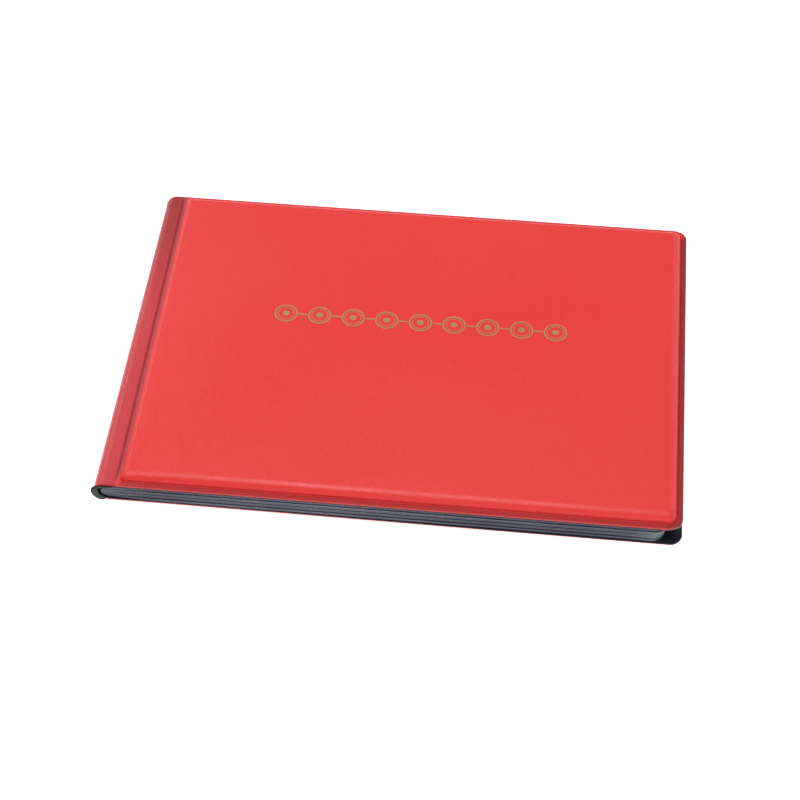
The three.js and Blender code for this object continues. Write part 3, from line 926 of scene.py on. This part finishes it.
def lining_sheet(name, side):
    along, across = cover_lines(side)

    def turned_over(u, y):
        rim = 1 - smooth_step(HALF_DEPTH - abs(y), turned_edge(y) - TURN_FULL, turned_edge(y) + TURN_OUT)
        return rim * round_the_roll(side, u)

    def place(u, y, top):
        x, y_round = rounded_fore(u, y, FORE, HALF_DEPTH, CORNER[side])
        loose, over = slack(side, x, y_round), turned_over(u, y)
        rounding = TURN_ROUNDING * (1 - smooth_step(HALF_DEPTH - abs(y), 0.0, TURN_ROUND_WIDTH))
        thick_end = 1 - FAR_THINNING * smooth_step(y, 0.0, HALF_DEPTH)
        outer = LINER + over * (2 * HALF_LAMINATE - LINER + ROLLED_OUT * thick_end - rounding)
        inner = lining_relief(x, y_round) - over * (ROLLED_IN * thick_end - rounding)
        offset = (outer if top else inner) - HALF_LAMINATE + BACK_DROOP * loose
        spread = BACK_SPREAD * loose
        drawn_in = cover_shift(side, y_round) * smooth_step(u, ROLL_START, FOOT_SPINE)
        return laminate_point(side, x + spread, y_round * (1 + spread / HALF_DEPTH) + drawn_in, offset)

    masks = {
        "rim": lambda u, y, top: (1 - smooth_step(from_rim(u, y), 0.1 * MM, 0.35 * MM)) * (1 - round_the_roll(side, u))
    }
    piece = sheet_mesh(name, "navy", along, across, place, masks)
    bend_at_fold(piece, side)
    return piece


front_lining = lining_sheet("front_lining", 1)
back_lining = lining_sheet("back_lining", -1)
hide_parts("front_liner", "spine_liner")
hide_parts("back_liner")

# %% [markdown]
# ### Foam pads
#
# The pad under each skin is cut a little smaller than the hollow and pushes up into the crown. It is one sheet
# again, with its top a hair below the skin's underside and its base flat on the board.

# %% Foam pads
PAD_GAP, PAD_INSET, PAD_LEAST = 0.08 * MM, 0.35 * MM, 0.1 * MM
PAD_STEP = 4 * MM


def foam_pad(name, node, side, crown):
    low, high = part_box(node)
    base = low.z if side > 0 else high.z
    lines = [PAD_INSET, *(PAD_INSET + d for d in shoulder_lines())]
    along = merged_lines(
        [low.x + d for d in lines],
        evenly(low.x + lines[-1], high.x - lines[-1], PAD_STEP),
        [high.x - d for d in lines],
    )
    near = [low.y + d for d in lines]
    across = merged_lines(near, evenly(near[-1], -near[-1], PAD_STEP), [-y for y in near])

    def place(x, y, top):
        skin_z = MID_Z + side * (HALF_CHORD + HALF_LAMINATE - SKIN - PAD_GAP + skin_relief(x, x, y, crown))
        if not top:
            return Vector((x, y, base))
        return Vector((x, y, max(skin_z, base + PAD_LEAST) if side > 0 else min(skin_z, base - PAD_LEAST)))

    piece = sheet_mesh(name, "foam", along, across, place)
    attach(piece, "front_cover" if side > 0 else "back_cover")
    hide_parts(node)
    return piece


foam_pad("front_foam", "front_foam_pad", 1, CROWN)
foam_pad("back_foam", "back_foam_pad", -1, 0.0)

# %% [markdown]
# ### The fused binding
#
# The leaves' roots are melted together into one narrow block inside the roll. Its face towards the leaves is
# ribbed, one rib for each leaf. The profile is drawn once at the near end and extruded to the far one.

# %% Binding block
bind_low, bind_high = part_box("leaf_binding")
BIND_RADIUS = (bind_high.z - bind_low.z) / 2
BIND_END = 2.5 * MM  # the block stops this far inside the leaves' ends
BIND_STEP = 4 * MM
RIB_HEIGHT, RIB_SET_BACK, RIB_POINTS = 0.10 * MM, 0.12 * MM, 6


def binding_profile():
    """Points round the block's end: a half round towards the spine, and a ribbed face towards the leaves."""
    centre_z, radius = (bind_low.z + bind_high.z) / 2, BIND_RADIUS
    centre_x = bind_low.x + radius
    turns = np.linspace(math.pi / 2, 1.5 * math.pi, 19)
    points = [(centre_x + radius * math.cos(t), centre_z + radius * math.sin(t)) for t in turns]
    ribs = len(leaf_bodies)
    for i in range(ribs * RIB_POINTS + 1):
        share = i / (ribs * RIB_POINTS)
        ripple = RIB_HEIGHT * abs(math.sin(math.pi * share * ribs))
        points.append((bind_high.x - RIB_SET_BACK + ripple, bind_low.z + share * 2 * radius))
    return points


def binding_block():
    bm = bmesh.new()
    stops = evenly(bind_low.y + BIND_END, bind_high.y - BIND_END, BIND_STEP)
    ring = [bm.verts.new((x, stops[0], z)) for x, z in binding_profile()]
    end = bm.faces.new(ring)
    edges = list(end.edges)
    for start, stop in zip(stops, stops[1:]):
        grown = bmesh.ops.extrude_edge_only(bm, edges=edges)["geom"]
        bmesh.ops.translate(bm, vec=(0.0, stop - start, 0.0), verts=only(bmesh.types.BMVert, grown))
        edges = only(bmesh.types.BMEdge, grown)
    bmesh.ops.contextual_create(bm, geom=edges)
    edge_layer = bm.verts.layers.float.new("edge")
    for v in bm.verts:
        v[edge_layer] = 0.55
    return finish_mesh("leaf_binding_block", "binding", bm)


binding = binding_block()
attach(binding, "spine")
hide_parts("leaf_binding")

# %% [markdown]
# ### Leaves
#
# Each leaf is a film with a welded border, which is thicker than the film, so the block of leaves looks solid from
# the side. The leaves have slipped against each other in small clusters by a fraction of a millimetre, which
# gives the block its streaks. Each leaf's transform is baked into its mesh; it is not attached to its leaf's body.

# %% Leaf films
random.seed(17)
LEAF_CORNER = 4.5 * MM
BORDER_WIDTH = 1.3 * MM
LEAF_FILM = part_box("leaf_01_film")[1].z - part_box("leaf_01_film")[0].z
BORDER = 0.42 * MM
BORDER_RAMP = 0.25 * MM  # the width over which a leaf's border thins to its film
ROOT_ZONE, ROOT_STEP, LEAF_STEP = 12 * MM, 0.75 * MM, 6 * MM
LEAF_INSET = 5 * MM  # the coarse grid stops this far inside a leaf's edges
LEAF_ROUNDING, LEAF_ROUND_WIDTH = 0.05 * MM, 0.12 * MM
GLINT_FROM, GLINT_WHOLE = 9 * MM, 2 * MM  # how far from the edges the painted corner highlight starts and is whole
LEAF_SLANT = 0.07 * MM
ROOT_DRAW = 0.65 * MM  # at the near end the leaves' roots stop this far short of the rolled lining
LEAF_CLUSTERS = (  # for each leaf, its cluster and how far that lies across, in millimetres
    (0, -0.42), (0, -0.42), (1, -0.1), (1, -0.1), (1, -0.1), (2, 0.3), (3, -0.25), (3, -0.25), (4, 0.1), (4, 0.1),
)


def leaf_shift(index):
    """How far a leaf is out of line, along and across. Leaves slip in small clusters, the lowest ones forward."""
    cluster, across = LEAF_CLUSTERS[index]
    along = 0.25 * math.sin(2.4 * cluster) - 0.05
    return (along + random.uniform(-0.05, 0.05)) * MM, (across + random.uniform(-0.04, 0.04)) * MM


leaf_shifts = {body: leaf_shift(index) for index, body in enumerate(leaf_bodies)}


def leaf_root(z):
    """Where a leaf starts inside the binding: the block is a half round, so the middle leaves reach further in."""
    dz = z - (bind_low.z + bind_high.z) / 2
    return bind_low.x + BIND_RADIUS - math.sqrt(max((0.3 * MM) ** 2, (BIND_RADIUS - 0.05 * MM) ** 2 - dz * dz))


def bend_at_root(piece, body):
    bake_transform(piece)


def leaf_sheet(index, body):
    low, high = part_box(body + "_film")
    shift_x, shift_y = leaf_shifts[body]
    root = leaf_root((low.z + high.z) / 2)
    sag = 0.9 * BACK_DROOP * max(0.0, 1 - index / 7)
    fore = high.x + shift_x - LEAF_SLANT * (len(leaf_bodies) - 1 - index)
    half = high.y
    rim = [d * MM for d in (0.0, 0.05, 0.11, 0.18)]
    border = [*rim, BORDER_WIDTH - 0.15 * MM, BORDER_WIDTH, BORDER_WIDTH + BORDER_RAMP]
    corner = [d * MM for d in (2.4, 3.4, 4.5)]
    along = merged_lines(
        evenly(root, root + ROOT_ZONE, ROOT_STEP),
        evenly(root + ROOT_ZONE, fore - LEAF_INSET, LEAF_STEP),
        [fore - d for d in border + corner],
    )
    sides = [half - d for d in border + corner]
    across = merged_lines(evenly(-half + LEAF_INSET, half - LEAF_INSET, LEAF_STEP), sides, [-y for y in sides])

    def rim_distance(u, y):
        return min(fore - u, half - abs(y))

    def place(u, y, top):
        rim = rim_distance(u, y)
        thick = LEAF_FILM + (BORDER - LEAF_FILM) * (1 - smooth_step(rim, BORDER_WIDTH, BORDER_WIDTH + BORDER_RAMP))
        rounding = LEAF_ROUNDING * (1 - smooth_step(rim, 0.0, LEAF_ROUND_WIDTH))
        z = low.z + (thick - rounding if top else rounding) - sag * slack(-1, u, abs(y) - shift_y)
        root_share = smooth_step(u, root, root + 15 * MM)
        near_root = smooth_step(-y, half - 4 * MM, half - 1.5 * MM) * (1 - smooth_step(u, root, root + 6 * MM))
        u, y = rounded_fore(u, y, fore, half, LEAF_CORNER)
        return Vector((u + ROOT_DRAW * near_root, y + shift_y * root_share, z))

    masks = {
        "edge": lambda u, y, top: 1 - smooth_step(rim_distance(u, y), BORDER_WIDTH, BORDER_WIDTH + 0.3 * MM),
        # painted highlight on the rounded corner
        "corner": lambda u, y, top: smooth_step(u, fore - GLINT_FROM, fore - GLINT_WHOLE)
        * smooth_step(abs(y), half - GLINT_FROM, half - GLINT_WHOLE),
    }
    piece = sheet_mesh(body + "_sheet", "film", along, across, place, masks)
    bend_at_root(piece, body)
    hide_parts(body + "_film")
    return piece


leaf_sheets = [leaf_sheet(index, body) for index, body in enumerate(leaf_bodies)]
print(len(leaf_sheets), "leaves of", len(leaf_sheets[0].data.polygons), "faces")

# %% [markdown]
# ### Pockets
#
# A row of pockets is one film, welded to the leaf down both sides of every pocket and along the bottom, and open
# at the top. Between the welds it stands a little proud and cushions softly. The weld lines are pressed in.

# %% Pocket films
COLUMNS = 4
WELD = 1.6 * MM
POCKET_FILM = 0.08 * MM
WELD_LINE, WELD_LINE_HALF = 0.03 * MM, 0.2 * MM  # depth and half the width of a pressed line
POCKET_GAP = 0.02 * MM
POCKET_RAMP = 1.2 * MM  # the width over which a pocket rises from its weld
POCKET_INSET, POCKET_STEP_ALONG, POCKET_STEP_ACROSS = 6 * MM, 7 * MM, 5 * MM


def pocket_row(body, row):
    low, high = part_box(f"{body}_{row}_pockets")
    shift_y = leaf_shifts[body][1]
    pocket = (high.x - low.x - WELD) / COLUMNS - WELD
    starts = [low.x + WELD + column * (pocket + WELD) for column in range(COLUMNS)]
    rise = high.z - low.z - POCKET_FILM - POCKET_GAP
    ramp = [0.0, 0.25 * MM, 0.6 * MM, POCKET_RAMP, 2 * POCKET_RAMP]
    along = merged_lines(
        [low.x, high.x],
        [s + d for s in starts for d in ramp],
        [s + pocket - d for s in starts for d in ramp],
        [s - WELD / 2 + d for s in [*starts, high.x] for d in (-WELD_LINE_HALF, 0.0, WELD_LINE_HALF)],
        evenly(low.x + POCKET_INSET, high.x - POCKET_INSET, POCKET_STEP_ALONG),
    )
    bottom = [low.y + d for d in (0.0, WELD / 2 - WELD_LINE_HALF, WELD / 2, WELD / 2 + WELD_LINE_HALF)]
    middle = evenly(low.y + POCKET_INSET, high.y, POCKET_STEP_ACROSS)
    across = merged_lines(bottom, [low.y + WELD + d for d in ramp], middle)

    def pocket_inset(u, y):
        """Distance inside the nearest pocket's welds, below 0 on a weld. The mouth has none."""
        sides = max(min(u - s, s + pocket - u) for s in starts)
        return min(sides, y - low.y - WELD)

    def weld_line(u, y):
        uprights = max(hump(u, s - WELD / 2, WELD_LINE_HALF) for s in [*starts, high.x])
        return max(uprights, hump(y, low.y + WELD / 2, WELD_LINE_HALF))

    def place(u, y, top):
        lift = rise * smooth_step(pocket_inset(u, y), 0.0, POCKET_RAMP)
        wall = POCKET_FILM - WELD_LINE * weld_line(u, y) if top else 0.0
        return Vector((u, y + shift_y, low.z + lift + wall))

    masks = {"edge": lambda u, y, top: 0.75 * (1 - smooth_step(pocket_inset(u, y), -0.1 * MM, 0.2 * MM))}
    piece = sheet_mesh(f"{body}_{row}_pocket_film", "pocket", along, across, place, masks)
    bend_at_root(piece, body)
    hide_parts(f"{body}_{row}_pockets")
    return piece


pocket_rows = [pocket_row(body, row) for body in leaf_bodies for row in ("near", "middle", "far")]
print(len(pocket_rows), "pocket rows of", len(pocket_rows[0].data.polygons), "faces")

# %% [markdown]
# ### The foil frieze
#
# A string of coin shapes on a thin line, with no letters. Each shape is a flat disc or ring, and the whole frieze
# is then laid on the crowned skin by dropping a ray from every vertex, so that it follows the padding.

# %% Foil pieces
foil_low, foil_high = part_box("front_foil_frieze")
FOIL_COINS = 9
FOIL_LIFT, FOIL_THICKNESS = 0.02 * MM, 0.03 * MM
COIN_RADIUS = (foil_high.y - foil_low.y) / 2
RING_WIDTH, INNER_RING_IN, INNER_RING_WIDTH = 0.5 * MM, 1.0 * MM, 0.25 * MM
DOT_RADIUS, BAR_WIDTH, BAR_GAP, BAR_STEP = 1.1 * MM, 0.55 * MM, 0.5 * MM, 1.2 * MM
foil_centre = (foil_low + foil_high) / 2


def foil_disc(bm, x, radius, hole, segments=48):
    made = bmesh.ops.create_circle(bm, cap_ends=True, cap_tris=False, radius=radius, segments=segments)["verts"]
    bmesh.ops.translate(bm, vec=(x, foil_centre.y, 0.0), verts=made)
    if hole:
        face = made[0].link_faces[0]
        bmesh.ops.inset_individual(bm, faces=[face], thickness=radius - hole, use_even_offset=True)
        bmesh.ops.delete(bm, geom=[face], context="FACES")


def foil_bar(bm, x, length, width):
    steps = max(2, round(length / BAR_STEP))
    made = bmesh.ops.create_grid(bm, x_segments=steps, y_segments=1, size=1.0)["verts"]
    reach = max(v.co.x for v in made)
    for v in made:
        v.co = (x + v.co.x / reach * length / 2, foil_centre.y + v.co.y / reach * width / 2, 0.0)


def lay_on_skin(bm, skin, lift):
    skin_bm = bmesh.new()
    skin_bm.from_mesh(skin.data)
    tree = BVHTree.FromBMesh(skin_bm)
    skin_bm.free()
    for v in bm.verts:
        hit = tree.ray_cast(Vector((v.co.x, v.co.y, 0.1)), Vector((0, 0, -1)))[0]
        v.co.z = hit.z + lift


def foil_frieze():
    bm = bmesh.new()
    pitch = (foil_high.x - foil_low.x - 2 * COIN_RADIUS) / (FOIL_COINS - 1)
    centres = [foil_centre.x + (i - (FOIL_COINS - 1) / 2) * pitch for i in range(FOIL_COINS)]
    for x in centres:
        foil_disc(bm, x, COIN_RADIUS, COIN_RADIUS - RING_WIDTH)
        foil_disc(bm, x, COIN_RADIUS - INNER_RING_IN, COIN_RADIUS - INNER_RING_IN - INNER_RING_WIDTH)
        foil_disc(bm, x, DOT_RADIUS, 0.0, 32)
    for x in [c + pitch / 2 for c in centres[:-1]]:
        foil_bar(bm, x, pitch - 2 * COIN_RADIUS - BAR_GAP, BAR_WIDTH)
    lay_on_skin(bm, front_skin, FOIL_LIFT)
    grown = bmesh.ops.extrude_face_region(bm, geom=bm.faces[:], use_keep_orig=True)["geom"]
    bmesh.ops.translate(bm, vec=(0.0, 0.0, FOIL_THICKNESS), verts=only(bmesh.types.BMVert, grown))
    return finish_mesh("front_foil_coins", "gold", bm)


foil = foil_frieze()
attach(foil, "front_cover")
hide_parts("front_foil_frieze")

# %% [markdown]
# ## Materials on the CAD pieces
#
# The two boards are stiff and flat, so their CAD meshes are already right. Only their material changes.

# %% Finish the stiff pieces
for node in ("front_board", "back_board"):
    slots = frame["nodes"][node].material_slots
    for slot in slots:
        slot.material = finishes["board"]
    print(node, "slots given the greyboard finish:", len(slots))
